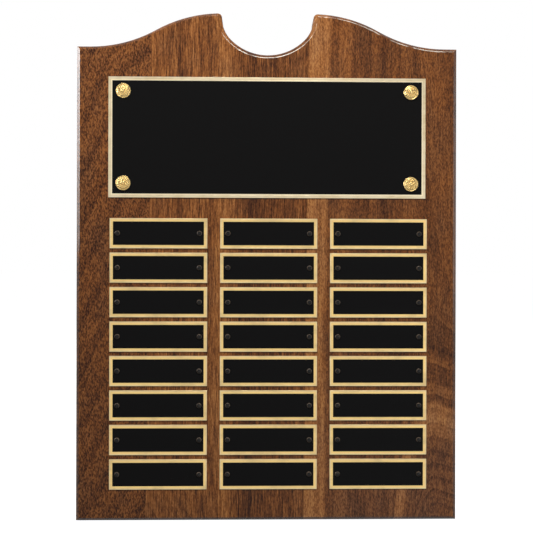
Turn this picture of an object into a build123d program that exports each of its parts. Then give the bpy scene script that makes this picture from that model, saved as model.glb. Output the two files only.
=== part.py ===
from build123d import *
import os
from math import asin, atan, cos, degrees, hypot, radians, sin

# Award plaque: a walnut board with a scrolled and notched top, one header plate held by four
# rosettes, and three columns of eight nameplates held by domed pins. It hangs by a keyhole hanger.
# Frame: +X to the viewer's right, +Z up, and the front faces -Y. The back of the board lies on
# Y = 0, and the origin is the middle of the back. Lengths are millimetres, angles are degrees.

# ---- driving dimensions ----

# Board: solid walnut, edge-glued from three staves
BOARD_WIDTH = 12 * IN
BOARD_HEIGHT = 16 * IN
BOARD_THICKNESS = 0.75 * IN
EDGE_BEVEL = 0.125 * IN
SEAM_PLACES = (-94.4, 31.5)  # where the two glue lines cross the middle of the board
SEAM_LEAN = 0.6  # the board was sawn slightly askew to its staves

# Scrolled top: on each side an ogee falls from the horn beside the notch to the shoulder
SHOULDER_DROP = 27.5
SHOULDER_FLAT = 10.4
HORN_ROUNDING = 3.4
NOTCH_DEPTH = 33.4
NOTCH_HALF_WIDTH = 36.8
NOTCH_FLOOR_RADIUS = 41.7
NOTCH_SIDE_RADIUS = 25.0

# Plates: brass sheet with a shallow etched field, filled flush with black enamel
PLATE_THICKNESS = 0.8
PLATE_EDGE_BREAK = 0.15
ENAMEL_DEPTH = 0.15
NAMEPLATE_WIDTH = 77.4
NAMEPLATE_HEIGHT = 24.0
NAMEPLATE_BORDER = 2.65
COLUMNS = 3
ROWS = 8
COLUMN_PITCH = 87.6
ROW_PITCH = 27.35
GRID_MIDDLE = (1.2, -69.5)  # from the middle of the board
HEADER_WIDTH = (COLUMNS - 1) * COLUMN_PITCH + NAMEPLATE_WIDTH
HEADER_HEIGHT = 96.0
HEADER_BORDER = 3.1
HEADER_RISE = 102.6  # of its middle above the board's

# Nameplate pins: black domed escutcheon pins, two to a plate
PIN_HEAD_RADIUS = 2.05
PIN_HEAD_HEIGHT = 1.1
PIN_HEAD_BRIM = 0.3
PIN_SHANK_RADIUS = 0.6
PIN_LENGTH = 10.0
PIN_INSET = 6.2
PIN_POINT = 1.6

# Header rosettes, each with a nail through its middle
ROSETTE_RADIUS = 5.9
ROSETTE_RIM_HEIGHT = 1.0
ROSETTE_RIM_WIDTH = 0.9
ROSETTE_VALLEY = 0.7
ROSETTE_CROWN = 2.1
ROSETTE_SEAT_RADIUS = 1.75
ROSETTE_SEAT_DEPTH = 0.45
ROSETTE_FLUTES = 12
ROSETTE_FLUTE_RADIUS = 0.45
ROSETTE_FLUTE_LIFT = 0.55  # of a flute's axis above the crown's chord, so its ends run out
ROSETTE_INSETS = (11.9, 11.4)  # from the header plate's ends, and from its long edges
NAIL_HEAD_RADIUS = 1.6
NAIL_HEAD_HEIGHT = 0.9
NAIL_HEAD_BRIM = 0.3
NAIL_SHANK_RADIUS = 0.8
NAIL_LENGTH = 14.0
NAIL_POINT = 2.2

# Keyhole hanger: a steel plate let in flush with the back, under the notch
HANGER_RISE = 138.0  # of its middle above the board's
HANGER_LENGTH = 50.0
HANGER_WIDTH = 19.0
HANGER_THICKNESS = 1.6
KEYHOLE_ENTRY_RADIUS = 4.75
KEYHOLE_SLOT_RADIUS = 2.5
KEYHOLE_ENTRY_DROP = 6.0  # below the middle of the hanger
KEYHOLE_TRAVEL = 12.0  # from the middle of the entry to the end of the slot's axis
KEYHOLE_POCKET_MARGIN = 1.0
KEYHOLE_POCKET_DEPTH = 8.0
SCREW_REACH = 19.0  # from the middle of the hanger
SCREW_HEAD_RADIUS = 3.3
SCREW_SHANK_RADIUS = 1.75
SCREW_LENGTH = 12.7
SCREW_POINT = 3.0
SCREW_HEAD_ANGLE = 90.0  # so the head is as deep as it stands out beyond the shank
SCREW_RECESS = (3.6, 0.9, 1.3)  # length, width and depth of each slot of the cross

# Room between a driven shank and its pilot hole, and round a plate that is let in
PILOT_CLEARANCE = 0.05
INLET_CLEARANCE = 0.1

# ---- working planes and places, seen from the front ----

FRONT = Plane.XZ.offset(BOARD_THICKNESS)
PLATE_FRONT = Plane.XZ.offset(BOARD_THICKNESS + PLATE_THICKNESS)
BACK = Plane.XZ


def grid_places():
    """Each nameplate's row and column, counted from the top left, and the middle of the plate."""
    for row in range(ROWS):
        for column in range(COLUMNS):
            x = GRID_MIDDLE[0] + (column - (COLUMNS - 1) / 2) * COLUMN_PITCH
            z = GRID_MIDDLE[1] + ((ROWS - 1) / 2 - row) * ROW_PITCH
            yield row + 1, column + 1, x, z


PIN_REACH = NAMEPLATE_WIDTH / 2 - PIN_INSET
PIN_PLACES = [(x + side * PIN_REACH, z) for _, _, x, z in grid_places() for side in (-1, 1)]
ROSETTE_REACH = (HEADER_WIDTH / 2 - ROSETTE_INSETS[0], HEADER_HEIGHT / 2 - ROSETTE_INSETS[1])
ROSETTE_PLACES = [
    (side * ROSETTE_REACH[0], HEADER_RISE + level * ROSETTE_REACH[1])
    for level in (1, -1)
    for side in (-1, 1)
]
SCREW_PLACES = [(0, HANGER_RISE + end * SCREW_REACH) for end in (1, -1)]

os.makedirs("parts", exist_ok=True)


def save(piece, name):
    """Label a finished piece and write it as its own STEP file."""
    piece.part.label = name
    export_step(piece.part, f"parts/{name}.step")


def board_outline():
    """Right half of the board's outline, from the middle of the foot round to the notch floor."""
    half_width = BOARD_WIDTH / 2
    top = BOARD_HEIGHT / 2
    shoulder = top - SHOULDER_DROP
    ogee_start = half_width - SHOULDER_FLAT
    ogee_span = ogee_start - NOTCH_HALF_WIDTH
    ogee_turn = 2 * degrees(atan(SHOULDER_DROP / ogee_span))
    ogee_radius = ogee_span / (2 * sin(radians(ogee_turn)))
    floor_middle = top - NOTCH_DEPTH + NOTCH_FLOOR_RADIUS
    side_middle = NOTCH_HALF_WIDTH - NOTCH_SIDE_RADIUS
    centre_gap = NOTCH_FLOOR_RADIUS - NOTCH_SIDE_RADIUS
    floor_turn = degrees(asin(side_middle / centre_gap))
    side_height = floor_middle - centre_gap * cos(radians(floor_turn))

    foot = Line((0, -top), (half_width, -top))
    side = Line(foot @ 1, (half_width, shoulder))
    flat = Line(side @ 1, (ogee_start, shoulder))
    hollow = JernArc(flat @ 1, (-1, 0), ogee_radius, -ogee_turn)
    round_over = JernArc(hollow @ 1, hollow % 1, ogee_radius, ogee_turn)
    Line(round_over @ 1, (NOTCH_HALF_WIDTH, side_height))
    CenterArc((side_middle, side_height), NOTCH_SIDE_RADIUS, 0, floor_turn - 90)
    CenterArc((0, floor_middle), NOTCH_FLOOR_RADIUS, floor_turn - 90, -floor_turn)


# ---- board ----

with BuildPart() as panel:
    with BuildSketch(BACK) as outline:
        with BuildLine():
            board_outline()
            mirror(about=Plane.YZ)
        make_face()
        horn_tips = outline.vertices().sort_by(Axis.Y)[-2:]
        fillet(horn_tips, HORN_ROUNDING)
    extrude(amount=BOARD_THICKNESS)
    chamfer(panel.faces().sort_by(Axis.Y)[0].edges(), EDGE_BEVEL)
    with BuildSketch(FRONT):
        with Locations(*PIN_PLACES):
            Circle(PIN_SHANK_RADIUS + PILOT_CLEARANCE)
    extrude(amount=-(PIN_LENGTH + PILOT_CLEARANCE), mode=Mode.SUBTRACT)
    with BuildSketch(FRONT):
        with Locations(*ROSETTE_PLACES):
            Circle(NAIL_SHANK_RADIUS + PILOT_CLEARANCE)
    extrude(amount=-(NAIL_LENGTH + PILOT_CLEARANCE), mode=Mode.SUBTRACT)
    with BuildSketch(BACK):
        with Locations((0, HANGER_RISE)):
            SlotOverall(
                HANGER_LENGTH + 2 * INLET_CLEARANCE,
                HANGER_WIDTH + 2 * INLET_CLEARANCE,
                rotation=90,
            )
    extrude(amount=HANGER_THICKNESS, mode=Mode.SUBTRACT)
    with BuildSketch(BACK):
        pocket_radius = KEYHOLE_ENTRY_RADIUS + KEYHOLE_POCKET_MARGIN
        with Locations((0, HANGER_RISE - KEYHOLE_ENTRY_DROP + KEYHOLE_TRAVEL / 2)):
            SlotCenterToCenter(KEYHOLE_TRAVEL, 2 * pocket_radius, rotation=90)
    extrude(amount=KEYHOLE_POCKET_DEPTH, mode=Mode.SUBTRACT)
    with BuildSketch(BACK):
        with Locations(*SCREW_PLACES):
            Circle(SCREW_SHANK_RADIUS + PILOT_CLEARANCE)
    extrude(amount=SCREW_LENGTH + PILOT_CLEARANCE, mode=Mode.SUBTRACT)


def seam(place):
    """Plane of a glue line, with its normal towards the right-hand stave."""
    lean = radians(SEAM_LEAN)
    return Plane(origin=(place, 0, 0), z_dir=(cos(lean), 0, -sin(lean)))


left_seam, right_seam = (seam(place) for place in SEAM_PLACES)

with BuildPart() as left_stave:
    add(panel.part)
    split(bisect_by=left_seam, keep=Keep.BOTTOM)
save(left_stave, "board_left_stave")

with BuildPart() as middle_stave:
    add(panel.part)
    split(bisect_by=left_seam, keep=Keep.TOP)
    split(bisect_by=right_seam, keep=Keep.BOTTOM)
save(middle_stave, "board_middle_stave")

with BuildPart() as right_stave:
    add(panel.part)
    split(bisect_by=right_seam, keep=Keep.TOP)
save(right_stave, "board_right_stave")

# ---- plates ----


def make_plate(middle, size, border, hole_places, hole_radius):
    """Brass plate with its edges broken, an etched field inside the border, and nail holes."""
    with BuildPart() as plate:
        with BuildSketch(FRONT):
            with Locations(middle):
                Rectangle(*size)
        extrude(amount=PLATE_THICKNESS)
        chamfer(plate.faces().sort_by(Axis.Y)[0].edges(), PLATE_EDGE_BREAK)
        with BuildSketch(PLATE_FRONT):
            with Locations(middle):
                Rectangle(size[0] - 2 * border, size[1] - 2 * border)
        extrude(amount=-ENAMEL_DEPTH, mode=Mode.SUBTRACT)
        with BuildSketch(FRONT):
            with Locations(*hole_places):
                Circle(hole_radius + PILOT_CLEARANCE)
        extrude(amount=PLATE_THICKNESS, mode=Mode.SUBTRACT)
    return plate


def add_enamel_field(middle, size, border, hole_places, hole_radius):
    """Enamel that fills one plate's etched field, added to the part being built."""
    with BuildSketch(PLATE_FRONT) as field:
        with Locations(middle):
            Rectangle(size[0] - 2 * border, size[1] - 2 * border)
        with Locations(*hole_places):
            Circle(hole_radius + PILOT_CLEARANCE, mode=Mode.SUBTRACT)
    extrude(field.sketch, amount=-ENAMEL_DEPTH)


header_layout = (
    (0, HEADER_RISE),
    (HEADER_WIDTH, HEADER_HEIGHT),
    HEADER_BORDER,
    ROSETTE_PLACES,
    NAIL_SHANK_RADIUS,
)
save(make_plate(*header_layout), "header_plate")

with BuildPart() as header_enamel:
    add_enamel_field(*header_layout)
save(header_enamel, "header_enamel")


def nameplate_layout(x, z):
    """Place, size, border and pin holes of the nameplate whose middle is at x, z."""
    pin_holes = [(x - PIN_REACH, z), (x + PIN_REACH, z)]
    size = (NAMEPLATE_WIDTH, NAMEPLATE_HEIGHT)
    return (x, z), size, NAMEPLATE_BORDER, pin_holes, PIN_SHANK_RADIUS


for row, column, x, z in grid_places():
    save(make_plate(*nameplate_layout(x, z)), f"nameplate_row{row}_column{column}")

with BuildPart() as nameplate_enamel:
    for _, _, x, z in grid_places():
        add_enamel_field(*nameplate_layout(x, z))
save(nameplate_enamel, "nameplate_enamel")

# ---- pins, rosettes and nails, each turned about its own axis and then set in place ----

# A turned profile stands on the plane's x axis; turned upright, its +Z points out of the plate.
FACING = Plane(origin=(0, -BOARD_THICKNESS - PLATE_THICKNESS, 0), x_dir=(1, 0, 0), z_dir=(0, -1, 0))


def dome_radius(half_width, height):
    """Radius of the ball that a shallow dome of this half width and height is cut from."""
    return (half_width**2 + height**2) / (2 * height)


def add_driven_pin(head_radius, brim, head_height, shank_radius, length, point, seat):
    """Half profile of a domed pin, its head resting at the given height and its point below."""
    shoulder = seat + brim
    crown = seat + head_height
    ball = dome_radius(head_radius, head_height - brim)
    Polyline(
        (0, crown),
        (0, seat - length),
        (shank_radius, seat - length + point),
        (shank_radius, seat),
        (head_radius, seat),
        (head_radius, shoulder),
    )
    RadiusArc((head_radius, shoulder), (0, crown), -ball)


with BuildPart() as one_pin:
    with BuildSketch(Plane.XZ):
        with BuildLine():
            add_driven_pin(
                PIN_HEAD_RADIUS,
                PIN_HEAD_BRIM,
                PIN_HEAD_HEIGHT,
                PIN_SHANK_RADIUS,
                PIN_LENGTH + PLATE_THICKNESS,
                PIN_POINT,
                0,
            )
        make_face()
    revolve(axis=Axis.Z)

with BuildPart() as nameplate_pins:
    with Locations(*[FACING * Location((x, z, 0)) for x, z in PIN_PLACES]):
        add(one_pin.part)
save(nameplate_pins, "nameplate_pins")

with BuildPart() as one_rosette:
    with BuildSketch(Plane.XZ):
        with BuildLine():
            bore = NAIL_SHANK_RADIUS + PILOT_CLEARANCE
            nail_seat = ROSETTE_CROWN - ROSETTE_SEAT_DEPTH
            rim_inside = ROSETTE_RADIUS - ROSETTE_RIM_WIDTH
            Polyline(
                (ROSETTE_SEAT_RADIUS, ROSETTE_CROWN),
                (ROSETTE_SEAT_RADIUS, nail_seat),
                (bore, nail_seat),
                (bore, 0),
                (ROSETTE_RADIUS, 0),
                (ROSETTE_RADIUS, ROSETTE_RIM_HEIGHT / 2),
            )
            ThreePointArc(
                (ROSETTE_RADIUS, ROSETTE_RIM_HEIGHT / 2),
                (ROSETTE_RADIUS - ROSETTE_RIM_WIDTH / 2, ROSETTE_RIM_HEIGHT),
                (rim_inside, ROSETTE_VALLEY),
            )
            crown_half_width = rim_inside - ROSETTE_SEAT_RADIUS
            crown_drop = ROSETTE_CROWN - ROSETTE_VALLEY
            RadiusArc(
                (rim_inside, ROSETTE_VALLEY),
                (ROSETTE_SEAT_RADIUS, ROSETTE_CROWN),
                -dome_radius(crown_half_width, crown_drop),
            )
        make_face()
    revolve(axis=Axis.Z)
    flute_slope = degrees(atan(crown_drop / crown_half_width))
    flute_middle = (rim_inside + ROSETTE_SEAT_RADIUS) / 2
    flute_height = (ROSETTE_CROWN + ROSETTE_VALLEY) / 2 + ROSETTE_FLUTE_LIFT
    with PolarLocations(0, ROSETTE_FLUTES):
        with Locations((flute_middle, 0, flute_height)):
            Cylinder(
                ROSETTE_FLUTE_RADIUS,
                hypot(crown_half_width, crown_drop),
                rotation=(0, 90 + flute_slope, 0),
                mode=Mode.SUBTRACT,
            )

with BuildPart() as header_rosettes:
    with Locations(*[FACING * Location((x, z, 0)) for x, z in ROSETTE_PLACES]):
        add(one_rosette.part)
save(header_rosettes, "header_rosettes")

with BuildPart() as one_nail:
    with BuildSketch(Plane.XZ):
        with BuildLine():
            add_driven_pin(
                NAIL_HEAD_RADIUS,
                NAIL_HEAD_BRIM,
                NAIL_HEAD_HEIGHT,
                NAIL_SHANK_RADIUS,
                NAIL_LENGTH + PLATE_THICKNESS + nail_seat,
                NAIL_POINT,
                nail_seat,
            )
        make_face()
    revolve(axis=Axis.Z)

with BuildPart() as header_nails:
    with Locations(*[FACING * Location((x, z, 0)) for x, z in ROSETTE_PLACES]):
        add(one_nail.part)
save(header_nails, "header_nails")

# ---- keyhole hanger and its screws, on the back ----

# Seen from behind, where +Y points towards the viewer
REAR = Plane(origin=(0, 0, 0), x_dir=(-1, 0, 0), z_dir=(0, 1, 0))

with BuildPart() as keyhole_hanger:
    with BuildSketch(BACK):
        with Locations((0, HANGER_RISE)):
            SlotOverall(HANGER_LENGTH, HANGER_WIDTH, rotation=90)
        entry_height = HANGER_RISE - KEYHOLE_ENTRY_DROP
        with Locations((0, entry_height)):
            Circle(KEYHOLE_ENTRY_RADIUS, mode=Mode.SUBTRACT)
        with Locations((0, entry_height + KEYHOLE_TRAVEL / 2)):
            SlotCenterToCenter(
                KEYHOLE_TRAVEL, 2 * KEYHOLE_SLOT_RADIUS, rotation=90, mode=Mode.SUBTRACT
            )
    extrude(amount=HANGER_THICKNESS)
    with Locations(*[REAR * Location((x, z, 0)) for x, z in SCREW_PLACES]):
        CounterSinkHole(
            SCREW_SHANK_RADIUS + PILOT_CLEARANCE,
            SCREW_HEAD_RADIUS + PILOT_CLEARANCE,
            counter_sink_angle=SCREW_HEAD_ANGLE,
        )
save(keyhole_hanger, "keyhole_hanger")

with BuildPart() as one_screw:
    with BuildSketch(Plane.XZ):
        with BuildLine():
            head_depth = SCREW_HEAD_RADIUS - SCREW_SHANK_RADIUS
            Polyline(
                (0, 0),
                (SCREW_HEAD_RADIUS, 0),
                (SCREW_SHANK_RADIUS, -head_depth),
                (SCREW_SHANK_RADIUS, -(SCREW_LENGTH - SCREW_POINT)),
                (0, -SCREW_LENGTH),
                close=True,
            )
        make_face()
    revolve(axis=Axis.Z)
    for turn in (0, 90):
        Box(
            *SCREW_RECESS,
            rotation=(0, 0, turn),
            align=(Align.CENTER, Align.CENTER, Align.MAX),
            mode=Mode.SUBTRACT,
        )

with BuildPart() as hanger_screws:
    with Locations(*[REAR * Location((x, z, 0)) for x, z in SCREW_PLACES]):
        add(one_screw.part)
save(hanger_screws, "hanger_screws")
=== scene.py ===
"""Walnut award plaque with a brass header plate, 24 nameplates and a keyhole hanger on its back."""

from math import atan2, cos, e, pi, radians, sin, tan

import bmesh
import bpy
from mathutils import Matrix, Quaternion, Vector


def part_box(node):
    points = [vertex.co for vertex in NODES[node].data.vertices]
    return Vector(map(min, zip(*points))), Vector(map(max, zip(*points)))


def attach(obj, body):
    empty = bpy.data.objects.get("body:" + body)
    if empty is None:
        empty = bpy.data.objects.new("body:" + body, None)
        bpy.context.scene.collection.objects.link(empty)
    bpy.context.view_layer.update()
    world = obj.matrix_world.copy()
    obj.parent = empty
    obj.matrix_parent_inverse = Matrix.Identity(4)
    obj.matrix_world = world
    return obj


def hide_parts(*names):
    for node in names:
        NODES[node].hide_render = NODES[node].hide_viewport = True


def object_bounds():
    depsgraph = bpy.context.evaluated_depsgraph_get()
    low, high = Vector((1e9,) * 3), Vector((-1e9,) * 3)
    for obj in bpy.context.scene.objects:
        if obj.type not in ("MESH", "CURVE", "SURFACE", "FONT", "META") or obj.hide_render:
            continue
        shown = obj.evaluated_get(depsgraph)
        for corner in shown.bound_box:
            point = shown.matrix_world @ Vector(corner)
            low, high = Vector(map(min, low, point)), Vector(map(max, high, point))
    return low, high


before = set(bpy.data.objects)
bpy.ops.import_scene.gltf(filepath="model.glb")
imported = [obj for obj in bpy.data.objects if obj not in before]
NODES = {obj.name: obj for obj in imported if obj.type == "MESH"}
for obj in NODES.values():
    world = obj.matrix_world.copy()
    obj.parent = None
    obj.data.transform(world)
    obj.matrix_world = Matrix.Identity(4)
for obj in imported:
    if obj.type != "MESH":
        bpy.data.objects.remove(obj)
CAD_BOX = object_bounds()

bl_info = {
    "name": "Walnut Award Plaque",
    "version": (1, 0, 0),
    "blender": (4, 5, 0),
    "location": "View3D > Sidebar > Plaque",
    "description": "Builds the finished pieces of a walnut award plaque around its fixed frame",
    "category": "Object",
}

MM = 0.001
BOARD_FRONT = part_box("board_middle_stave")[0].y
ROWS, COLUMNS = 8, 3
SEAM_LEAN = radians(0.6)
TOWARDS_FRONT = Vector((0, -1, 0))
BODY = "root"
SECOND_SLOT, THIRD_SLOT = 1, 2
HAIR = 0.01 * MM  # places nearer than this count as the same


# ---- node maths ----


class Socket:
    """One output of a node, on which ordinary sums add their Math nodes."""

    def __init__(self, finish, socket):
        self.finish = finish
        self.socket = socket

    def __add__(self, other):
        return self.finish.math("ADD", self, other)

    def __sub__(self, other):
        return self.finish.math("SUBTRACT", self, other)

    def __rsub__(self, other):
        return self.finish.math("SUBTRACT", other, self)

    def __mul__(self, other):
        return self.finish.math("MULTIPLY", self, other)

    def __truediv__(self, other):
        return self.finish.math("DIVIDE", self, other)

    def __neg__(self):
        return self.finish.math("MULTIPLY", self, -1.0)

    __radd__ = __add__
    __rmul__ = __mul__


class Finish:
    """A procedural finish: one material, or the world, and the nodes that work it out."""

    def __init__(self, name, owner=None):
        self.owner = owner or bpy.data.materials.new(name)
        self.owner.use_nodes = True
        self.nodes = self.owner.node_tree.nodes
        self.links = self.owner.node_tree.links

    def feed(self, socket, value):
        """Link a worked-out value to a socket, or set a plain one on it."""
        if isinstance(value, Socket):
            self.links.new(value.socket, socket)
        else:
            socket.default_value = value

    def node(self, kind, settings=None, inputs=None, output=0):
        """Add a node, set it up, feed its sockets and return the output asked for."""
        made = self.nodes.new(kind)
        settings = dict(settings or {})
        if "stops" in settings:
            stops = made.color_ramp.elements
            stops.remove(stops[-1])
            for place, colour in settings.pop("stops"):
                stop = stops[0] if place == 0 else stops.new(place)
                stop.color = colour
        for name, value in settings.items():
            setattr(made, name, value)
        for name, value in (inputs or {}).items():
            self.feed(made.inputs[name], value)
        return Socket(self, made.outputs[output])

    def math(self, operation, *values):
        return self.node("ShaderNodeMath", {"operation": operation}, dict(enumerate(values)))

    def mix(self, amount, first, second):
        """Blend of two colours."""
        return self.node("ShaderNodeMix", {"data_type": "RGBA"}, {0: amount, 6: first, 7: second}, 2)

    def step(self, value, start, end):
        """Smooth rise from 0 to 1 as a value goes from start to end."""
        return self.node(
            "ShaderNodeMapRange",
            {"interpolation_type": "SMOOTHSTEP"},
            {"Value": value, "From Min": start, "From Max": end},
        )

    def place(self):
        """The three object coordinates, in millimetres."""
        where = self.node("ShaderNodeTexCoord", output="Object")
        scaled = self.node("ShaderNodeVectorMath", {"operation": "SCALE"}, {0: where, "Scale": 1000.0})
        return [self.node("ShaderNodeSeparateXYZ", inputs={0: scaled}, output=axis) for axis in range(3)]

    def noise(self, x, y, z, detail=2.0, roughness=0.5):
        """Soft random field, about 0.5, over three scaled coordinates."""
        where = self.node("ShaderNodeCombineXYZ", inputs={0: x, 1: y, 2: z})
        return self.node(
            "ShaderNodeTexNoise",
            inputs={"Vector": where, "Scale": 1.0, "Detail": detail, "Roughness": roughness},
        )

    def ramp(self, amount, stops, ease="LINEAR"):
        """Colour along a list of (place, colour) stops, the first of them at 0."""
        made = self.node("ShaderNodeValToRGB", {"stops": stops}, {0: amount})
        made.socket.node.color_ramp.interpolation = ease
        return made

    def bump(self, height, distance, strength=1.0):
        return self.node(
            "ShaderNodeBump",
            inputs={"Height": height, "Distance": distance, "Strength": strength},
            output="Normal",
        )

    def surface(self, **inputs):
        """Feed the shader's sockets, named in lower case, and return the material."""
        shader = self.nodes["Principled BSDF"]
        for name, value in inputs.items():
            self.feed(shader.inputs[name.replace("_", " ").title().replace("Ior", "IOR")], value)
        return self.owner


# ---- finishes ----


def soft_ramp(finish, value):
    """Zero for low values, turning gently into the value itself for high ones."""
    return finish.math("LOGARITHM", finish.math("EXPONENT", value) + 1.0, e)


def leaning_rings(finish, x, z):
    """Left stave: flat-sawn rings that lean to the right, and swirl round a spot near its top."""
    swirl_x, swirl_z, swirl_reach = -118.0, 158.0, 16.0
    far_x = (x - swirl_x) / swirl_reach
    far_z = (z - swirl_z) / swirl_reach
    swirl = finish.math("EXPONENT", -(far_x * far_x + far_z * far_z))
    return x - z * tan(radians(28)) + swirl * 13.0


def straight_rings(finish, x, z):
    """Middle stave: straight rings, which run out to the right at its lower left corner."""
    drop = soft_ramp(finish, (z + 152.0) / -9.0) * 9.0
    return x - z * tan(SEAM_LEAN) - drop * finish.step(x, -30.0, -58.0) * 0.62


def arching_rings(finish, x, z):
    """Right stave: straight beside its seam, and arching over towards its lower right corner."""
    spread = x - soft_ramp(finish, (x - 106.0) / 6.0) * 6.0 * 0.62
    drop = soft_ramp(finish, (z + 55.0) / -20.0) * -20.0
    return spread - z * tan(SEAM_LEAN) + (drop * 1.15 + z * 0.06) * finish.step(x, 82.0, 136.0)


def walnut(name, lacquer, wear_and_painted_sheen, rings_of, pitch, ring_depth, profile, warmth, streaks, speckle, turn):
    """Lacquered walnut.

    lacquer is the weight of its gloss coat, and the argument after it how strongly pale wood is painted on,
    in irregular patches, as a highlight. rings_of gives the rings' field in millimetres, pitch their
    spacing and ring_depth how dark they are. profile lists (place across the stave, tone), warmth shifts
    the colour from grey-brown to red-brown, streaks and speckle are the strengths of the long and the short
    marks along the fibres, and turn leads the noise to another spot.
    """
    wood = Finish(name)
    x, y, z = wood.place()
    sway = wood.noise(x / 55.0 + turn, y / 55.0, z / 120.0) - 0.5
    wobble = wood.noise(x / 9.0 + turn, y / 9.0, z / 45.0, 3.0) - 0.5
    across = rings_of(wood, x, z) + y * 0.3 + sway * 9.0 + wobble * 2.4

    phase = wood.math("FRACT", across / pitch)
    ring = wood.step(phase, 0.45, 0.94) * (1.0 - wood.step(phase, 0.95, 1.0))
    fine_phase = wood.math("FRACT", across / (pitch * 0.29) + 0.4)
    fine_ring = wood.step(fine_phase, 0.3, 0.92) * (1.0 - wood.step(fine_phase, 0.93, 1.0))
    patchy = wood.noise(x / 22.0 + turn, y / 22.0, z / 70.0)

    low, high = profile[0][0], profile[-1][0]
    stops = [((place - low) / (high - low), (tone, tone, tone, 1.0)) for place, tone in profile]
    tone = wood.ramp((across - low) / (high - low), stops, "EASE")

    streak = wood.noise(x / 1.0 + turn, y / 1.0, z / 48.0, 2.0, 0.7) - 0.5
    fibre = wood.noise(x / 0.7, y / 0.7 + turn, z / 12.0, 2.0, 0.7) - 0.5
    fleck = wood.noise(x / 0.75 + turn, y / 0.75, z / 2.0, 1.0, 0.6)
    pore = wood.step(fleck, 0.50, 0.64)
    glint = wood.step(fleck, 0.50, 0.36)
    cloud = wood.noise(x / 14.0, y / 14.0 + turn, z / 26.0, 2.0) - 0.5

    shade = (
        tone
        + cloud * 0.12
        + streak * streaks * 0.75
        + fibre * streaks * 1.25
        - ring * (patchy * 1.5 + 0.1) * ring_depth
        - fine_ring * (patchy * 0.8 + 0.15) * ring_depth * 0.55
        - pore * speckle
        + glint * speckle * 0.8
    )
    grey_brown = (
        (0.0, (0.026, 0.010, 0.005, 1.0)),
        (0.25, (0.078, 0.030, 0.012, 1.0)),
        (0.5, (0.160, 0.065, 0.025, 1.0)),
        (0.75, (0.280, 0.128, 0.052, 1.0)),
        (1.0, (0.420, 0.215, 0.095, 1.0)),
    )
    red_brown = (
        (0.0, (0.030, 0.009, 0.004, 1.0)),
        (0.25, (0.088, 0.028, 0.008, 1.0)),
        (0.5, (0.180, 0.060, 0.015, 1.0)),
        (0.75, (0.310, 0.115, 0.030, 1.0)),
        (1.0, (0.450, 0.200, 0.060, 1.0)),
    )
    hue = wood.step(cloud + streak * 0.6 + warmth, 0.0, 1.0)
    colour = wood.mix(hue, wood.ramp(shade, grey_brown), wood.ramp(shade, red_brown))
    # Painted highlight: pale wood mixed in, in irregular patches, on arrises where the light catches them.
    if wear_and_painted_sheen:
        painted_sheen = wood.step(wood.noise(x / 7.0 + turn, y / 7.0, z / 7.0), 0.34, 0.56) * wear_and_painted_sheen
        colour = wood.mix(painted_sheen, colour, (0.86, 0.80, 0.70, 1.0))
    return wood.surface(
        base_color=colour,
        roughness=0.33 + pore * 0.2 - streak * 0.12,
        normal=wood.bump(fibre * 0.35 - pore * 0.6 - ring * 0.15, 0.06 * MM, 0.5),
        specular_ior_level=0.05,
        coat_weight=lacquer,
        coat_roughness=0.14,
        coat_ior=1.5,
    )


def brushed_brass(name, colour, tarnish, roughness, grain=(24.0, 0.35)):
    """Satin brass, brushed along its length, with faint tarnish and rub marks."""
    brass = Finish(name)
    x, y, z = brass.place()
    length, width = grain
    brush = brass.noise(x / length, y / width, z / width, 3.0, 0.7)
    crossing = brass.noise(x / width, y / width, z / length, 3.0, 0.7)
    cloud = brass.noise(x / 19.0 + 3.0, y / 19.0, z / 11.0, 3.0, 0.6)
    scratch = brass.step(brass.noise(x / 2.6 + 9.0, y / 2.6, z / 0.3, 1.0), 0.70, 0.78)
    stain = brass.step(cloud, 0.40, 0.78)
    shade = brass.mix(stain * 0.7 + (brush - 0.5) * 0.5, colour, tarnish)
    return brass.surface(
        base_color=shade,
        metallic=1.0,
        roughness=roughness + (brush - 0.5) * 0.22 + stain * 0.10 - scratch * 0.12,
        normal=brass.bump(brush * 0.6 + crossing * 0.25 - scratch * 0.4, 0.02 * MM, 0.5),
    )


def stamped_brass(name, middle, reach):
    """Bright lacquered brass of the rosettes and nails, darker where polish never reaches.

    The four of them stand at reach (x, z) from middle (x, z), in millimetres, and each is turned into
    fine rings round its own middle.
    """
    brass = Finish(name)
    x, y, z = brass.place()
    hollow = brass.noise(x / 1.3, y / 0.5, z / 1.3, 3.0, 0.6)
    orange_peel = brass.noise(x / 0.35, y / 0.35, z / 0.35, 2.0)
    worn_and_painted_highlight = brass.step(hollow, 0.35, 0.72)
    away_x = brass.math("ABSOLUTE", x - middle[0]) - reach[0]
    away_z = brass.math("ABSOLUTE", z - middle[1]) - reach[1]
    away = brass.math("SQRT", away_x * away_x + away_z * away_z)
    turned = brass.math("PINGPONG", away, 0.11) / 0.11
    return brass.surface(
        base_color=brass.mix(worn_and_painted_highlight, (0.90, 0.68, 0.31, 1.0), (0.66, 0.45, 0.17, 1.0)),
        metallic=1.0,
        roughness=0.20 + worn_and_painted_highlight * 0.16 + (orange_peel - 0.5) * 0.08,
        normal=brass.bump(turned + orange_peel * 0.5 + hollow * 0.5, 0.03 * MM, 0.8),
    )


def baked_enamel(name):
    """Satin black enamel with a fine orange peel, thin dust and a few rub marks."""
    enamel = Finish(name)
    x, y, z = enamel.place()
    peel = enamel.noise(x / 0.9, y / 0.9, z / 0.9, 2.0)
    haze = enamel.noise(x / 60.0, y / 60.0, z / 45.0, 3.0)
    dust = enamel.step(enamel.noise(x / 0.7 + 5.0, y / 0.7, z / 0.7, 1.0), 0.78, 0.84)
    return enamel.surface(
        base_color=enamel.mix(dust * 0.6, (0.0057, 0.0056, 0.0058, 1.0), (0.030, 0.028, 0.026, 1.0)),
        roughness=0.22 + (haze - 0.5) * 0.12 + dust * 0.2,
        normal=enamel.bump(peel, 0.004 * MM, 0.5),
        specular_ior_level=0.045,
    )


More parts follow.
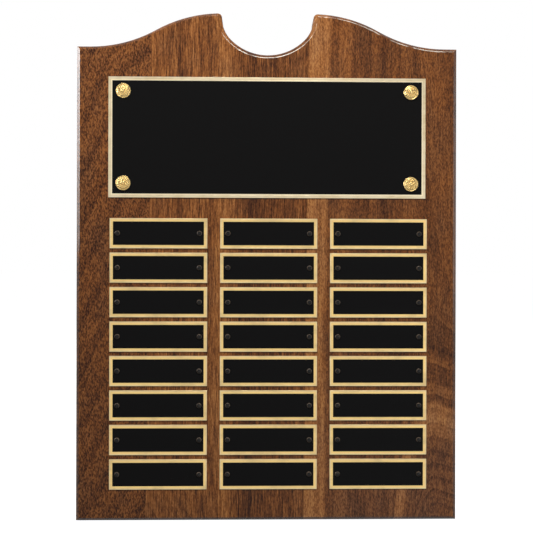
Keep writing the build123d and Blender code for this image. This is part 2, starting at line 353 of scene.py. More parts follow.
def black_lacquer(name, painted_sheen):
    """Glossy black lacquer of the pin heads, rubbed through to bronze in patches; the second argument adds
    more bronze as a painted reflection.
    """
    lacquer = Finish(name)
    x, y, z = lacquer.place()
    # Random rubbed patches, plus bronze painted on as a reflection as far as the second argument raises it.
    wear_and_painted_sheen = lacquer.step(lacquer.noise(x / 1.1, y / 1.1, z / 1.1, 3.0, 0.7) + painted_sheen * 0.3, 0.55, 0.80)
    ripple = lacquer.noise(x / 0.4, y / 0.4, z / 0.4, 2.0)
    return lacquer.surface(
        base_color=lacquer.mix(wear_and_painted_sheen, (0.004, 0.0036, 0.0032, 1.0), (0.085, 0.062, 0.043, 1.0)),
        roughness=0.24 + wear_and_painted_sheen * 0.2 + (ripple - 0.5) * 0.1,
        normal=lacquer.bump(ripple, 0.01 * MM, 0.5),
        specular_ior_level=0.10,
        coat_weight=0.30,
        coat_roughness=0.08,
    )


def zinc_plate(name, tint):
    """Zinc-plated steel: a blue-grey spangle under fine scratches."""
    zinc = Finish(name)
    x, y, z = zinc.place()
    where = zinc.node("ShaderNodeCombineXYZ", inputs={0: x / 3.0, 1: y / 3.0, 2: z / 3.0})
    cells = {"Vector": where, "Scale": 1.0}
    spangle = zinc.node("ShaderNodeTexVoronoi", {"feature": "F1"}, cells, "Distance")
    scratch = zinc.noise(x / 0.22, y / 0.22, z / 8.0, 3.0, 0.7)
    dull = zinc.noise(x / 7.0, y / 7.0, z / 7.0, 4.0, 0.65)
    shade = zinc.mix(zinc.step(dull, 0.35, 0.75), tint, (0.40, 0.39, 0.36, 1.0))
    return zinc.surface(
        base_color=shade,
        metallic=1.0,
        roughness=0.26 + spangle * 0.14 + (scratch - 0.5) * 0.25 + (dull - 0.5) * 0.2,
        normal=zinc.bump(scratch * 0.7 + spangle * 0.3, 0.02 * MM, 0.6),
    )


# ---- modelling helpers ----


def deselect():
    if bpy.context.object and bpy.context.object.mode != "OBJECT":
        bpy.ops.object.mode_set(mode="OBJECT")
    bpy.ops.object.select_all(action="DESELECT")


def edit(piece):
    """Open one piece in edit mode, with nothing else selected."""
    deselect()
    piece.select_set(True)
    bpy.context.view_layer.objects.active = piece
    bpy.ops.object.mode_set(mode="EDIT")


def select(piece, kind, test):
    """Select the faces, edges or vertices of the mesh being edited that pass a test."""
    bpy.ops.mesh.select_mode(type=kind)
    bpy.ops.mesh.select_all(action="DESELECT")
    shape = bmesh.from_edit_mesh(piece.data)
    shape.normal_update()
    elements = {"FACE": shape.faces, "EDGE": shape.edges, "VERT": shape.verts}[kind]
    chosen = [element for element in elements if test(element)]
    if not chosen:
        raise RuntimeError(f"{piece.name}: no {kind.lower()} passes the test")
    for element in chosen:
        element.select_set(True)
    shape.select_flush_mode()
    bmesh.update_edit_mesh(piece.data)


def facing(face, direction, least=0.99):
    return face.normal.dot(direction) > least


def copy_of_node(name, node):
    """New piece with a merged copy of a CAD node's mesh, left open in edit mode."""
    piece = bpy.data.objects.new(name, NODES[node].data.copy())
    bpy.context.scene.collection.objects.link(piece)
    edit(piece)
    bpy.ops.mesh.select_all(action="SELECT")
    bpy.ops.mesh.remove_doubles(threshold=0.001 * MM)
    bpy.ops.mesh.dissolve_limited(angle_limit=radians(0.2))
    return piece


def start_piece(name, add, **sizes):
    """New piece from a primitive, its place baked into the mesh, left open in edit mode."""
    deselect()
    add(**sizes)
    piece = bpy.context.object
    piece.name = piece.data.name = name
    bpy.ops.object.transform_apply(location=True, rotation=True, scale=True)
    edit(piece)
    return piece


def start_disc(name, middle, radius, height, sides):
    """Disc that faces the front, its back at the middle point."""
    return start_piece(
        name,
        bpy.ops.mesh.primitive_cylinder_add,
        vertices=sides,
        radius=radius,
        depth=height,
        location=middle + TOWARDS_FRONT * (height / 2),
        rotation=(pi / 2, 0, 0),
    )


def apply_modifier(piece, kind, **settings):
    bpy.ops.object.mode_set(mode="OBJECT")
    modifier = piece.modifiers.new(kind.title(), kind)
    for name, value in settings.items():
        setattr(modifier, name, value)
    bpy.ops.object.modifier_apply(modifier=modifier.name)


def smooth(piece, angle=35.0, weighted=True):
    """Smooth shading up to an angle, with the large faces keeping their own normals."""
    deselect()
    piece.select_set(True)
    bpy.context.view_layer.objects.active = piece
    bpy.ops.object.shade_smooth_by_angle(angle=radians(angle))
    if weighted:
        apply_modifier(piece, "WEIGHTED_NORMAL", keep_sharp=True, weight=100)


def mark(piece, slot, test):
    """Give the faces that pass a test to one of the piece's material slots."""
    while len(piece.material_slots) <= slot:
        bpy.ops.object.material_slot_add()
    select(piece, "FACE", test)
    piece.active_material_index = slot
    bpy.ops.object.material_slot_assign()


def set_finishes(piece, *finishes):
    """Put finishes in the material slots of a piece, keeping which face has which."""
    deselect()
    slots = piece.data.materials
    for place, finish in enumerate(finishes):
        if place == len(slots):
            slots.append(finish)
        slots[place] = finish


def place_in_frame(piece, slot, *nodes):
    """Let a finished piece ride on the body and stand in for its CAD nodes."""
    deselect()
    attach(piece, BODY)
    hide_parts(*nodes)


def copy_to(piece, name, shift, turn=0.0, about=None):
    """Copy of a piece with its own mesh, turned about a front-facing axis and then moved."""
    deselect()
    piece.select_set(True)
    bpy.context.view_layer.objects.active = piece
    bpy.ops.object.duplicate()
    copy = bpy.context.object
    copy.name = copy.data.name = name
    if turn:
        bpy.ops.transform.rotate(value=turn, orient_axis="Y", orient_type="GLOBAL", center_override=about)
    bpy.ops.transform.translate(value=shift)
    bpy.ops.object.transform_apply(location=True, rotation=True, scale=True)
    return copy


def join(name, pieces):
    deselect()
    for piece in pieces:
        piece.select_set(True)
    bpy.context.view_layer.objects.active = pieces[0]
    bpy.ops.object.join()
    pieces[0].name = pieces[0].data.name = name
    return pieces[0]


def front_face(piece):
    """Select the foremost face of the piece."""
    front = min(vertex.co.y for vertex in bmesh.from_edit_mesh(piece.data).verts)
    select(piece, "FACE", lambda face: face.calc_center_median().y < front + 0.001 * MM)


def raise_profile(profile):
    """Turn the selected round face into rings that follow a list of (radius, height) points."""
    for (radius, height), (next_radius, next_height) in zip(profile, profile[1:]):
        bpy.ops.mesh.inset(thickness=radius - next_radius, depth=next_height - height)


def dome(radius, brim, height, flat, rings):
    """Points of a domed head, from its brim up to a small flat round its middle."""
    turn = pi / 2 * (1 - flat / radius)
    steps = [step / rings * turn for step in range(rings + 1)]
    return [(radius * cos(step), brim + (height - brim) * sin(step) / sin(turn)) for step in steps]


def add_shank(piece, head_radius, radius, length, point):
    """Draw the back of a head out into a shank with a point."""
    inwards = Vector((0, length - point, 0))
    select(piece, "FACE", lambda face: facing(face, -TOWARDS_FRONT))
    bpy.ops.mesh.inset(thickness=head_radius - radius)
    bpy.ops.mesh.extrude_region_move(TRANSFORM_OT_translate={"value": inwards})
    bpy.ops.mesh.extrude_region_move(TRANSFORM_OT_translate={"value": (0, point, 0)})
    bpy.ops.mesh.merge(type="CENTER")


# ---- settings ----


def size_setting(name, description, millimetres):
    """A size that a user may change."""
    return bpy.props.FloatProperty(
        name=name,
        description=description,
        default=millimetres * MM,
        min=0.0,
        precision=5,
        unit="LENGTH",
        subtype="DISTANCE",
    )


def turn_setting(name, description, degrees):
    """An angle that a user may change."""
    return bpy.props.FloatProperty(
        name=name,
        description=description,
        default=radians(degrees),
        precision=5,
        unit="ROTATION",
        subtype="ANGLE",
    )


def colour_setting(name, description, red, green, blue):
    """A colour that a user may change."""
    return bpy.props.FloatVectorProperty(
        name=name,
        description=description,
        default=(red, green, blue, 1.0),
        size=4,
        min=0.0,
        max=1.0,
        subtype="COLOR",
    )


class PlaqueBoardSettings(bpy.types.PropertyGroup):
    arris: size_setting("Arris", "Width of the rounding on the front edges of the board", 0.45)
    back_arris: size_setting("Back arris", "Width of the rounding on the back edges of the board", 0.3)


class PlaquePlateSettings(bpy.types.PropertyGroup):
    edge: size_setting("Edge", "Width of the broken edge round each plate", 0.18)
    groove: size_setting("Groove", "Half width of the line cut round each border", 0.09)
    groove_depth: size_setting("Groove depth", "Depth of the line cut round each border", 0.06)
    header_border: size_setting("Header border", "Width of the header plate's bare border", 3.1)
    header_line: size_setting("Header line", "Distance of the cut line from the header plate's edge", 2.1)
    nameplate_border: size_setting("Nameplate border", "Width of a nameplate's bare border", 2.65)
    nameplate_line: size_setting("Nameplate line", "Distance of the cut line from a nameplate's edge", 0.9)
    enamel_depth: size_setting("Enamel depth", "Depth of the etched field", 0.15)
    gold: colour_setting("Gold", "Colour of the nameplates' borders", 0.94, 0.67, 0.27)
    dull_gold: colour_setting("Dull gold", "Colour of the nameplates' outer strip", 0.86, 0.68, 0.38)
    champagne: colour_setting("Champagne", "Colour of the header plate's border", 0.81, 0.70, 0.49)
    tarnish: colour_setting("Tarnish", "Colour of dull brass", 0.60, 0.46, 0.24)


class PlaqueFixingSettings(bpy.types.PropertyGroup):
    pin_inset: size_setting("Pin inset", "Distance of each pin from its end of the nameplate", 6.2)
    pin_radius: size_setting("Pin head radius", "Radius of a nameplate pin's head", 2.05)
    pin_height: size_setting("Pin head height", "Height of a nameplate pin's head", 1.1)
    pin_shank: size_setting("Pin shank", "Radius of a nameplate pin's shank", 0.6)
    pin_point: size_setting("Pin point", "Length of a nameplate pin's point", 1.6)
    rosette_inset_x: size_setting("Rosette inset", "Distance of a rosette from the end of the header", 11.9)
    rosette_inset_z: size_setting("Rosette drop", "Distance of a rosette from the header's long edge", 11.4)
    rosette_radius: size_setting("Rosette radius", "Radius of a header rosette", 5.9)
    rosette_crown: size_setting("Rosette crown", "Height of a rosette at its middle", 2.1)
    flutes: bpy.props.IntProperty(name="Flutes", description="Flutes round a rosette", default=16, min=6)
    nail_radius: size_setting("Nail head radius", "Radius of the nail through each rosette", 1.6)
    nail_height: size_setting("Nail head height", "Height of the nail's head", 0.9)
    nail_seat: size_setting("Nail seat", "Depth of the nail's seat in the rosette", 0.45)
    nail_shank: size_setting("Nail shank", "Radius of the nail's shank", 0.8)
    nail_point: size_setting("Nail point", "Length of the nail's point", 2.2)
    clearance: size_setting("Clearance", "Room round the shanks in the plates and rosettes", 0.05)


class PlaqueStageSettings(bpy.types.PropertyGroup):
    distance: size_setting("Camera distance", "Distance of the camera from the back of the board", 469.4)
    sideways: size_setting("Camera sideways", "How far the camera stands to the left of the middle", 7.4)
    lens: bpy.props.FloatProperty(name="Lens", description="Focal length", default=38.15, unit="CAMERA")
    yaw: turn_setting("Yaw", "Turn of the camera to its right", -0.867)
    pitch: turn_setting("Pitch", "Turn of the camera upwards", 0.011)
    roll: turn_setting("Roll", "Turn of the camera about its own axis", 0.152)
    floor_gap: size_setting("Floor gap", "Room between the floor and the foot of the board", 0.2)


SETTINGS = {
    "plaque_board": PlaqueBoardSettings,
    "plaque_plates": PlaquePlateSettings,
    "plaque_fixings": PlaqueFixingSettings,
    "plaque_stage": PlaqueStageSettings,
}


# ---- board ----

STAVES = {
    "left_stave": {
        "rings_of": leaning_rings,
        "pitch": 21.0,
        "ring_depth": 0.18,
        "profile": ((-270.0, 0.48), (-200.0, 0.46), (-150.0, 0.42), (-60.0, 0.43)),
        "warmth": 0.75,
        "streaks": 0.16,
        "speckle": 0.30,
        "turn": 3.0,
    },
    "middle_stave": {
        "rings_of": straight_rings,
        "pitch": 8.5,
        "ring_depth": 0.12,
        "profile": (
            (-96.0, 0.56),
            (-86.0, 0.56),
            (-76.0, 0.42),
            (-65.0, 0.60),
            (-52.0, 0.46),
            (-44.0, 0.70),
            (-37.0, 0.68),
            (-30.0, 0.42),
            (-19.0, 0.24),
            (-12.0, 0.36),
            (4.0, 0.40),
            (12.0, 0.38),
            (20.0, 0.52),
            (25.0, 0.42),
            (31.0, 0.62),
            (38.0, 0.62),
        ),
        "warmth": 0.80,
        "streaks": 1.25,
        "speckle": 0.12,
        "turn": 11.0,
    },
    "right_stave": {
        "rings_of": arching_rings,
        "pitch": 12.5,
        "ring_depth": 0.16,
        "profile": (
            (-160.0, 0.44),
            (0.0, 0.46),
            (30.0, 0.80),
            (40.0, 0.76),
            (44.0, 0.42),
            (49.0, 0.52),
            (57.0, 0.56),
            (66.0, 0.35),
            (76.0, 0.46),
            (88.0, 0.33),
            (100.0, 0.46),
            (160.0, 0.42),
        ),
        "warmth": 0.68,
        "streaks": 0.55,
        "speckle": 0.18,
        "turn": 23.0,
    },
}


def is_seam(face):
    """Whether a face is one that is glued to the next stave."""
    upright = abs(face.normal.x) > 0.999 and abs(face.normal.y) < 0.01
    return upright and abs(face.normal.z) > sin(SEAM_LEAN) / 2


def is_arris(edge, first, second):
    """Whether an edge away from the seams divides faces of which each passes another of two tests."""
    if len(edge.link_faces) != 2 or any(is_seam(face) for face in edge.link_faces):
        return False
    one, other = edge.link_faces
    return (first(one) and second(other)) or (first(other) and second(one))


def is_front(face):
    return face.normal.y < -0.99


def is_bevel(face):
    return -0.8 < face.normal.y < -0.6


def is_side(face):
    return abs(face.normal.y) < 0.1


def is_painted_highlight(face):
    """Whether a face lies on the upper front arris of the notch or of the ogee to its right: a painted
    highlight.
    """
    right_of_horn = face.calc_center_median().x > -36.0 * MM
    return right_of_horn and -0.995 < face.normal.y < -0.75 and face.normal.z > 0.12


def is_back(face):
    return face.normal.y > 0.99


class PlaqueBoard(bpy.types.Operator):
    """Round the arrises of the three walnut staves and give each its own grain"""

    bl_idname = "plaque.board"
    bl_label = "Board"

    def execute(self, context):
        sizes = context.scene.plaque_board
        for name, grain in STAVES.items():
            node = f"board_{name}"
            stave = copy_of_node(name, node)
            self.merge_specks(stave)
            edge_of_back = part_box(node)[1].y
            select(
                stave,
                "EDGE",
                lambda edge: is_arris(edge, is_front, is_bevel) or is_arris(edge, is_bevel, is_side),
            )
            self.round_off(sizes.arris, 3)
            select(
                stave,
                "EDGE",
                lambda edge: is_arris(edge, is_back, is_side)
                and min(vertex.co.y for vertex in edge.verts) > edge_of_back - HAIR
                and not self.in_keyhole(edge),
            )
            self.round_off(sizes.back_arris, 2)
            mark(stave, SECOND_SLOT, lambda face: 0.1 < abs(face.normal.y) < 0.99)
            # Upward-facing front arrises right of the horn get a third finish: the walnut with a painted
            # highlight of pale wood.
            if any(is_painted_highlight(face) for face in bmesh.from_edit_mesh(stave.data).faces):
                mark(stave, THIRD_SLOT, is_painted_highlight)
            front = walnut(f"walnut_{name}", 0.20, 0.0, **grain)
            edges = walnut(f"walnut_{name}_edges", 1.0, 0.0, **grain)
            worn_and_painted_highlight = walnut(f"walnut_{name}_worn", 1.0, 0.6, **grain)
            set_finishes(stave, front, edges, worn_and_painted_highlight)
            place_in_frame(stave, "walnut", node)
        return {"FINISHED"}

    @staticmethod
    def round_off(width, segments):
        """Round the selected edges, leaving the shading of the flat faces beside them flat."""
        bpy.ops.mesh.bevel(
            offset=width,
            segments=segments,
            affect="EDGES",
            clamp_overlap=False,
            harden_normals=True,
        )

    @staticmethod
    def merge_specks(stave):
        """Merge the tiny arc that the bevel leaves at each horn's tip into one corner."""
        horn_height = 190.0 * MM
        top = max(vertex.co.z for vertex in bmesh.from_edit_mesh(stave.data).verts)

        def at_tip(vertex):
            near_top = vertex.co.z > top - 5.0 * MM and vertex.co.y < BOARD_FRONT + HAIR
            return near_top and any(is_bevel(face) for face in vertex.link_faces)

        if top > horn_height:
            select(stave, "VERT", at_tip)
            bpy.ops.mesh.remove_doubles(threshold=0.3 * MM)

    @staticmethod
    def in_keyhole(edge):
        """Whether an edge belongs to the hanger's inlet and not to the outline."""
        low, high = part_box("keyhole_hanger")
        middle = (edge.verts[0].co + edge.verts[1].co) / 2
        return all(low[axis] - MM < middle[axis] < high[axis] + MM for axis in (0, 2))


# ---- plates ----


class Plate:
    """A brass plate with a broken edge, a line cut round its border and an etched field."""

    def __init__(self, name, node, border, line, sizes, holes, hole_radius):
        self.low, self.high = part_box(node)
        self.line = line
        self.border = border
        self.piece = start_piece(
            name,
            bpy.ops.mesh.primitive_cube_add,
            size=1,
            location=(self.low + self.high) / 2,
            scale=self.high - self.low,
        )
        self.cut_face(sizes)
        self.mark_inner_strip()
        self.drill(holes, hole_radius)
        smooth(self.piece, 40.0)

    def cut_face(self, sizes):
        piece, front = self.piece, self.low.y
        select(piece, "EDGE", lambda edge: all(vertex.co.y < front + HAIR for vertex in edge.verts))
        bpy.ops.mesh.bevel(offset=sizes.edge, segments=2, affect="EDGES")
        front_face(piece)
        bpy.ops.mesh.inset(thickness=self.line - sizes.edge - sizes.groove)
        bpy.ops.mesh.inset(thickness=sizes.groove, depth=-sizes.groove_depth)
        bpy.ops.mesh.inset(thickness=sizes.groove, depth=sizes.groove_depth)
        bpy.ops.mesh.inset(thickness=self.border - self.line - sizes.groove)
        bpy.ops.mesh.extrude_region_move(TRANSFORM_OT_translate={"value": (0, sizes.enamel_depth, 0)})

    def inwards(self, place):
        """Distance of a place from the plate's nearest edge."""
        gaps = [min(place[axis] - self.low[axis], self.high[axis] - place[axis]) for axis in (0, 2)]
        return min(gaps)

    def mark_inner_strip(self):
        """Give the strip inside the cut line the piece's second material."""
        mark(
            self.piece,
            SECOND_SLOT,
            lambda face: facing(face, TOWARDS_FRONT)
            and face.calc_center_median().y < self.low.y + HAIR
            and self.line < self.inwards(face.calc_center_median()) < self.border,
        )

    def drill(self, holes, radius):
        for place in holes:
            middle = Vector((place[0], (self.low.y + self.high.y) / 2, place[1]))
            drill = start_piece(
                "drill",
                bpy.ops.mesh.primitive_cylinder_add,
                vertices=24,
                radius=radius,
                depth=4 * MM,
                location=middle,
                rotation=(pi / 2, 0, 0),
            )
            edit(self.piece)
            apply_modifier(self.piece, "BOOLEAN", object=drill, operation="DIFFERENCE", solver="EXACT")
            bpy.data.objects.remove(drill)


def pin_places(sizes, node):
    """Places of a nameplate's two pins, as (x, z)."""
    low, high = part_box(node)
    return [(x, (low.z + high.z) / 2) for x in (low.x + sizes.pin_inset, high.x - sizes.pin_inset)]


def rosette_places(sizes):
    """Places of the four rosettes, as (x, z)."""
    low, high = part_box("header_plate")
    across = (low.x + sizes.rosette_inset_x, high.x - sizes.rosette_inset_x)
    upright = (high.z - sizes.rosette_inset_z, low.z + sizes.rosette_inset_z)
    return [(x, z) for z in upright for x in across]


def rosette_grid(sizes):
    """Middle of the four rosettes and their reach from it, as (x, z) in millimetres."""
    places = rosette_places(sizes)
    spans = [sorted({place[axis] for place in places}) for axis in range(2)]
    middle = [(low + high) / 2 / MM for low, high in spans]
    return middle, [(high - low) / 2 / MM for low, high in spans]


def nameplate_nodes():
    return [
        f"nameplate_row{row}_column{column}"
        for row in range(1, ROWS + 1)
        for column in range(1, COLUMNS + 1)
    ]


class PlaqueHeaderPlate(bpy.types.Operator):
    """Cut the header plate's border and etched field"""

    bl_idname = "plaque.header_plate"
    bl_label = "Header plate"

    def execute(self, context):
        sizes = context.scene.plaque_plates
        fixings = context.scene.plaque_fixings
        holes, bore = rosette_places(fixings), fixings.nail_shank + fixings.clearance
        border, line = sizes.header_border, sizes.header_line
        plate = Plate("header", "header_plate", border, line, sizes, holes, bore).piece
        pale = tuple(min(1.0, channel * 1.16) for channel in sizes.champagne[:3]) + (1.0,)
        outer = brushed_brass("champagne_brass", tuple(sizes.champagne), tuple(sizes.tarnish), 0.42)
        inner = brushed_brass("pale_brass", pale, tuple(sizes.champagne), 0.34)
        set_finishes(plate, outer, inner)
        place_in_frame(plate, "satin_brass", "header_plate")
        return {"FINISHED"}


class PlaqueNameplates(bpy.types.Operator):
    """Cut one nameplate and copy it to the other places of the grid"""

    bl_idname = "plaque.nameplates"
    bl_label = "Nameplates"

    def execute(self, context):
        sizes = context.scene.plaque_plates
        nodes = nameplate_nodes()
        fixings = context.scene.plaque_fixings
        holes, bore = pin_places(fixings, nodes[0]), fixings.pin_shank + fixings.clearance
        border, line = sizes.nameplate_border, sizes.nameplate_line
        first = Plate("plate", nodes[0], border, line, sizes, holes, bore).piece
        outer = brushed_brass("dull_gold_brass", tuple(sizes.dull_gold), tuple(sizes.tarnish), 0.44)
        inner = brushed_brass("gold_brass", tuple(sizes.gold), tuple(sizes.tarnish), 0.36)
        set_finishes(first, outer, inner)
        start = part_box(nodes[0])[0]
        for node in nodes[1:]:
            name = node.replace("nameplate", "plate")
            plate = copy_to(first, name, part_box(node)[0] - start)
            place_in_frame(plate, "satin_brass", node)
        first.name = first.data.name = nodes[0].replace("nameplate", "plate")
        place_in_frame(first, "satin_brass", nodes[0])
        return {"FINISHED"}


class PlaqueEnamel(bpy.types.Operator):
    """Give the etched fields their baked black enamel"""

    bl_idname = "plaque.enamel"
    bl_label = "Enamel"

    def execute(self, context):
        enamel = baked_enamel("satin_black_enamel")
        for node in ("header_enamel", "nameplate_enamel"):
            NODES[node].material_slots[0].material = enamel
        return {"FINISHED"}


# ---- pins, rosettes and nails ----


class PlaquePins(bpy.types.Operator):
    """Turn one black domed pin and copy it to both ends of every nameplate"""

    bl_idname = "plaque.pins"
    bl_label = "Nameplate pins"

    def execute(self, context):
        sizes = context.scene.plaque_fixings
        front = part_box(nameplate_nodes()[0])[0].y
        places = [place for node in nameplate_nodes() for place in pin_places(sizes, node)]
        brim, flat, rings = 0.3 * MM, 0.25 * MM, 6
        # Beyond this radius each pin's brim gets a bronze ring: a painted reflection.
        painted_sheen = sizes.pin_radius * 0.76
        middle = Vector((places[0][0], front, places[0][1]))
        pin = start_disc("pin", middle, sizes.pin_radius, brim, 28)
        front_face(pin)
        raise_profile(dome(sizes.pin_radius, brim, sizes.pin_height, flat, rings))
        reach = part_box("nameplate_pins")[1].y - front
        add_shank(pin, sizes.pin_radius, sizes.pin_shank, reach, sizes.pin_point)

        def on_brim(face):
            away = face.calc_center_median() - middle
            return away.y < 0 and (away.x**2 + away.z**2) ** 0.5 > painted_sheen

        # The brims take the second lacquer, whose bronze ring is a painted reflection.
        mark(pin, SECOND_SLOT, on_brim)
        smooth(pin, 50.0, weighted=False)
        set_finishes(pin, black_lacquer("black_pin_lacquer", 0.0), black_lacquer("pin_brims_painted_reflection", 1.0))
        pins = [pin]
        for x, z in places[1:]:
            pins.append(copy_to(pin, "pin", (x - middle.x, 0, z - middle.z)))
        place_in_frame(join("pins", pins), "black_pins", "nameplate_pins")
        return {"FINISHED"}


class PlaqueRosettes(bpy.types.Operator):
    """Stamp one brass rosette and copy it to the four corners of the header"""

    bl_idname = "plaque.rosettes"
    bl_label = "Header rosettes"

    def execute(self, context):
        sizes = context.scene.plaque_fixings
        places = rosette_places(sizes)
        middle = Vector((places[0][0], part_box("header_plate")[0].y, places[0][1]))
        radius, crown = sizes.rosette_radius, sizes.rosette_crown
        brim, bead, bead_top = 0.5 * MM, 0.9 * MM, 0.97 * MM
        valley, seat_radius = 0.7 * MM, 1.75 * MM
        shoulder, steepness = 0.62, 3.4
        bore = sizes.nail_shank + sizes.clearance
        sides = sizes.flutes * 6
        rosette = start_disc("rosette", middle, radius, brim, sides)
        front_face(rosette)
        raise_profile(
            [
                (radius, brim),
                (radius - 0.08 * MM, 0.78 * MM),
                (radius - bead * 0.3, bead_top),
                (radius - bead * 0.6, bead_top),
                (radius - bead * 0.9, 0.80 * MM),
                (radius - bead, valley),
            ]
        )
        inner, steps = radius - bead, 7
        crown_points = []
        for step in range(steps + 1):
            share = step / steps
            rise = shoulder * sin(min(1.0, share * steepness) * pi / 2) + (1.0 - shoulder) * share
            height = valley + (crown - valley) * rise
            crown_points.append((inner - (inner - seat_radius) * share, height))
        raise_profile(crown_points)
        seat = crown - sizes.nail_seat
        raise_profile([(seat_radius, crown), (seat_radius - 0.06 * MM, seat), (bore, seat)])
        self.press_flutes(rosette, middle, sizes.flutes, seat_radius + 0.2 * MM, inner - 0.1 * MM)
        self.bore(rosette, radius, bore)
        apply_modifier(rosette, "SUBSURF", levels=1, render_levels=1)
        smooth(rosette, 60.0, weighted=False)
        rosettes = []
        for number, (x, z) in enumerate(places):
            shift = (x - middle.x, 0, z - middle.z)
            rosettes.append(copy_to(rosette, "rosette", shift, radians(11 * number + 4), middle))
        bpy.data.objects.remove(rosette)
        rosettes = join("rosettes", rosettes)
        set_finishes(rosettes, stamped_brass("stamped_brass", *rosette_grid(sizes)))
        place_in_frame(rosettes, "polished_brass", "header_rosettes")
        return {"FINISHED"}

    @staticmethod
    def press_flutes(rosette, middle, flutes, inner, outer):
        """Press a groove into the crown between every two flutes."""
        depth, half_width, crown_foot = 0.50 * MM, 0.1, 0.6 * MM

        def on_groove(vertex):
            away = vertex.co - middle
            reach = (away.x**2 + away.z**2) ** 0.5
            turn = (atan2(away.z, away.x) / (2 * pi) * flutes) % 1
            raised = away.y < -crown_foot
            return raised and inner < reach < outer and min(turn, 1 - turn) < half_width

        select(rosette, "VERT", on_groove)
        bpy.ops.transform.translate(value=(0, depth, 0))

    @staticmethod
    def bore(rosette, radius, bore):
        """Open the hole for the nail, from the seat through to the back."""
        select(rosette, "FACE", lambda face: facing(face, -TOWARDS_FRONT))
        bpy.ops.mesh.inset(thickness=radius - bore)
        shape = bmesh.from_edit_mesh(rosette.data)
        back = [face for face in shape.faces if face.select]
        seat = [face for face in shape.faces if len(face.verts) > 4 and facing(face, TOWARDS_FRONT)]
        for face in seat:
            face.select_set(True)
        bmesh.update_edit_mesh(rosette.data)
        if len(back) != 1 or len(seat) != 1:
            raise RuntimeError("the rosette's bore has no two ends")
        bpy.ops.mesh.bridge_edge_loops()


class PlaqueNails(bpy.types.Operator):
    """Turn one brass nail with a dimpled head and copy it to the four rosettes"""

    bl_idname = "plaque.nails"
    bl_label = "Header nails"

    def execute(self, context):
        sizes = context.scene.plaque_fixings
        places = rosette_places(sizes)
        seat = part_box("header_plate")[0].y - sizes.rosette_crown + sizes.nail_seat
        middle = Vector((places[0][0], seat, places[0][1]))
        brim, dimple = 0.3 * MM, 0.5 * MM
        nail = start_disc("nail", middle, sizes.nail_radius, brim, 28)
        front_face(nail)
        head = dome(sizes.nail_radius, brim, sizes.nail_height, dimple, 6)
        top_radius, top = head[-1]
        sunk = [(top_radius - 0.08 * MM, top - 0.05 * MM), (top_radius - 0.25 * MM, top - 0.30 * MM)]
        raise_profile(head + sunk)
        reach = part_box("header_nails")[1].y - seat
        add_shank(nail, sizes.nail_radius, sizes.nail_shank, reach, sizes.nail_point)
        smooth(nail, 50.0, weighted=False)
        nails = [nail]
        for x, z in places[1:]:
            nails.append(copy_to(nail, "nail", (x - middle.x, 0, z - middle.z)))
        nails = join("nails", nails)
        set_finishes(nails, stamped_brass("nail_brass", *rosette_grid(sizes)))
        place_in_frame(nails, "polished_brass", "header_nails")
        return {"FINISHED"}


# ---- hanger ----


class PlaqueHanger(bpy.types.Operator):
    """Break the edges of the keyhole hanger, and plate it and its screws with zinc"""

    bl_idname = "plaque.hanger"
    bl_label = "Keyhole hanger"

    def execute(self, context):
        arris = 0.22 * MM
        hanger = copy_of_node("hanger", "keyhole_hanger")
        select(hanger, "EDGE", lambda edge: is_arris(edge, is_back, is_side))
        bpy.ops.mesh.bevel(offset=arris, segments=2, affect="EDGES", clamp_overlap=False)
        smooth(hanger, 40.0)
        set_finishes(hanger, zinc_plate("zinc_plating", (0.66, 0.67, 0.68, 1.0)))
        place_in_frame(hanger, "zinc_steel", "keyhole_hanger")
        screws = zinc_plate("screw_plating", (0.62, 0.60, 0.52, 1.0))
        NODES["hanger_screws"].material_slots[0].material = screws
        return {"FINISHED"}


# ---- stage ----

# Each light: name, place, size, power in watts, colour, and the kinds of light it gives
LIGHTS = (
    ("key", (-0.02, -0.50, 0.66), (0.55, 0.34), 7.6, (1.0, 0.97, 0.93), {"diffuse"}),
    ("low_fill", (0.30, -0.55, -0.45), (0.40, 0.40), 1.9, (0.88, 0.94, 1.0), {"diffuse"}),
    ("front_card", (0.0, -0.90, -0.25), (1.50, 1.90), 6.8, (1.0, 0.99, 0.97), {"glossy"}),
    ("high_card", (0.05, -0.42, 0.76), (0.28, 0.28), 4.6, (1.0, 0.96, 0.90), {"glossy"}),
    ("left_glint", (-0.62, -0.62, 0.0), (0.35, 0.9), 0.35, (1.0, 0.98, 0.95), {"glossy"}),
    ("right_glint", (0.62, -0.62, 0.0), (0.35, 0.9), 1.4, (1.0, 0.98, 0.95), {"glossy"}),
    ("streak_glint", (-0.50, -0.60, 0.45), (0.10, 0.10), 0.35, (1.0, 0.98, 0.95), {"glossy"}),
    ("left_rim", (-0.90, -0.02, 0.28), (0.45, 0.50), 6.0, (0.98, 0.99, 1.0), {"glossy"}),
    ("left_card", (-0.95, -0.05, 0.45), (0.5, 0.5), 4.0, (0.97, 0.98, 1.0), {"diffuse", "glossy"}),
    ("right_card", (0.95, 0.0, 0.15), (0.4, 0.5), 1.8, (1.0, 1.0, 1.0), {"diffuse", "glossy"}),
    ("back_glint", (-0.9, 0.8, 0.3), (0.4, 0.6), 1.4, (1.0, 1.0, 1.0), {"glossy"}),
    ("back_light", (-0.5, 0.9, 0.7), (0.6, 0.6), 9.0, (1.0, 1.0, 1.0), {"diffuse"}),
)


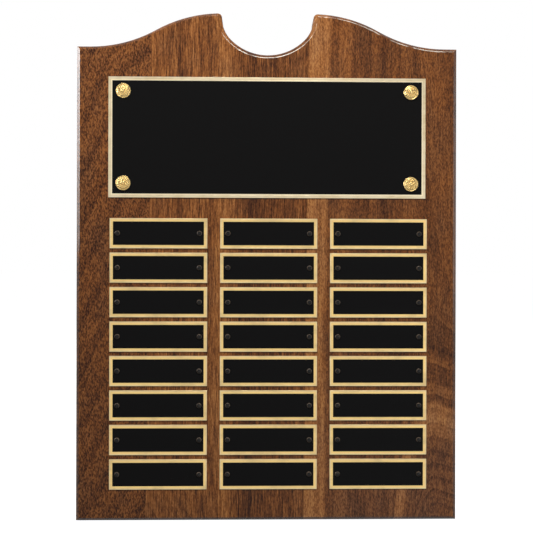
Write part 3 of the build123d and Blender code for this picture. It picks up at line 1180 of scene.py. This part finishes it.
class PlaqueStage(bpy.types.Operator):
    """Set up the pale floor, the studio lights and the camera"""

    bl_idname = "plaque.stage"
    bl_label = "Stage"

    def execute(self, context):
        sizes = context.scene.plaque_stage
        self.lay_floor(sizes)
        self.light_world(context.scene)
        for light in LIGHTS:
            self.add_light(*light)
        self.add_camera(context.scene, sizes)
        context.scene.view_settings.view_transform = "Standard"
        return {"FINISHED"}

    @staticmethod
    def lay_floor(sizes):
        deselect()
        place = (0, 0, CAD_BOX[0].z - sizes.floor_gap)
        bpy.ops.mesh.primitive_plane_add(size=30, location=place)
        floor = bpy.context.object
        floor.name = "floor"
        bpy.ops.object.transform_apply(location=True)
        paint = Finish("pale_floor")
        x, y, z = paint.place()
        faint = paint.noise(x / 300.0, y / 300.0, z, 2.0)
        pale = paint.mix(faint, (0.30, 0.30, 0.30, 1.0), (0.33, 0.33, 0.33, 1.0))
        surface = paint.surface(base_color=pale, roughness=0.9, emission_strength=0.93)
        surface.node_tree.nodes["Principled BSDF"].inputs["Emission Color"].default_value = (1, 1, 1, 1)
        surface.cycles.emission_sampling = "NONE"
        floor.data.materials.append(surface)
        floor.visible_diffuse = floor.visible_glossy = False

    @staticmethod
    def light_world(scene):
        """Dim light from in front of the plaque, more from behind it, and plain white to the camera."""
        scene.world = bpy.data.worlds.new("studio")
        studio = Finish("studio", scene.world)
        direction = studio.node("ShaderNodeTexCoord", output="Generated")
        depth = studio.node("ShaderNodeSeparateXYZ", inputs={0: direction}, output=1)
        seen = studio.node("ShaderNodeLightPath", output="Is Camera Ray")
        in_front, behind, white = [(grey, grey, grey, 1.0) for grey in (0.09, 0.32, 1.0)]
        glow = studio.mix(studio.step(depth, -0.05, 0.5), in_front, behind)
        background = studio.nodes["Background"]
        studio.feed(background.inputs["Color"], studio.mix(seen, glow, white))

    @staticmethod
    def add_light(name, place, size, power, tint, kinds):
        deselect()
        aim = (-Vector(place)).to_track_quat("-Z", "Y").to_euler()
        bpy.ops.object.light_add(type="AREA", location=place, rotation=aim)
        light = bpy.context.object
        light.name = name
        light.data.shape = "RECTANGLE"
        light.data.size, light.data.size_y = size
        light.data.energy = power
        light.data.color = tint
        light.visible_camera = False
        light.visible_diffuse = "diffuse" in kinds
        light.visible_glossy = "glossy" in kinds

    @staticmethod
    def add_camera(scene, sizes):
        turn = Quaternion((0, 0, 1), sizes.yaw) @ Quaternion((1, 0, 0), pi / 2 + sizes.pitch)
        turn = turn @ Quaternion((0, 0, 1), sizes.roll)
        place = (-sizes.sideways, -sizes.distance, 0)
        bpy.ops.object.camera_add(location=place, rotation=turn.to_euler())
        camera = bpy.context.object
        camera.name = "camera"
        camera.data.lens = sizes.lens
        camera.data.clip_start, camera.data.clip_end = 0.01, 50.0
        scene.camera = camera


OPERATORS = (
    PlaqueBoard,
    PlaqueHeaderPlate,
    PlaqueNameplates,
    PlaqueEnamel,
    PlaquePins,
    PlaqueRosettes,
    PlaqueNails,
    PlaqueHanger,
    PlaqueStage,
)


class PlaquePanel(bpy.types.Panel):
    """The plaque's pieces, each a button"""

    bl_idname = "VIEW3D_PT_plaque"
    bl_label = "Award Plaque"
    bl_space_type = "VIEW_3D"
    bl_region_type = "UI"
    bl_category = "Plaque"

    def draw(self, context):
        for operator in OPERATORS:
            self.layout.operator(operator.bl_idname)


def register():
    for group in (*SETTINGS.values(), *OPERATORS, PlaquePanel):
        bpy.utils.register_class(group)
    for name, group in SETTINGS.items():
        setattr(bpy.types.Scene, name, bpy.props.PointerProperty(type=group))


def unregister():
    for name in SETTINGS:
        delattr(bpy.types.Scene, name)
    for group in (PlaquePanel, *OPERATORS[::-1], *SETTINGS.values()):
        bpy.utils.unregister_class(group)


def main():
    register()
    for operator in OPERATORS:
        group, name = operator.bl_idname.split(".")
        getattr(getattr(bpy.ops, group), name)()
    deselect()


if __name__ == "__main__":
    main()
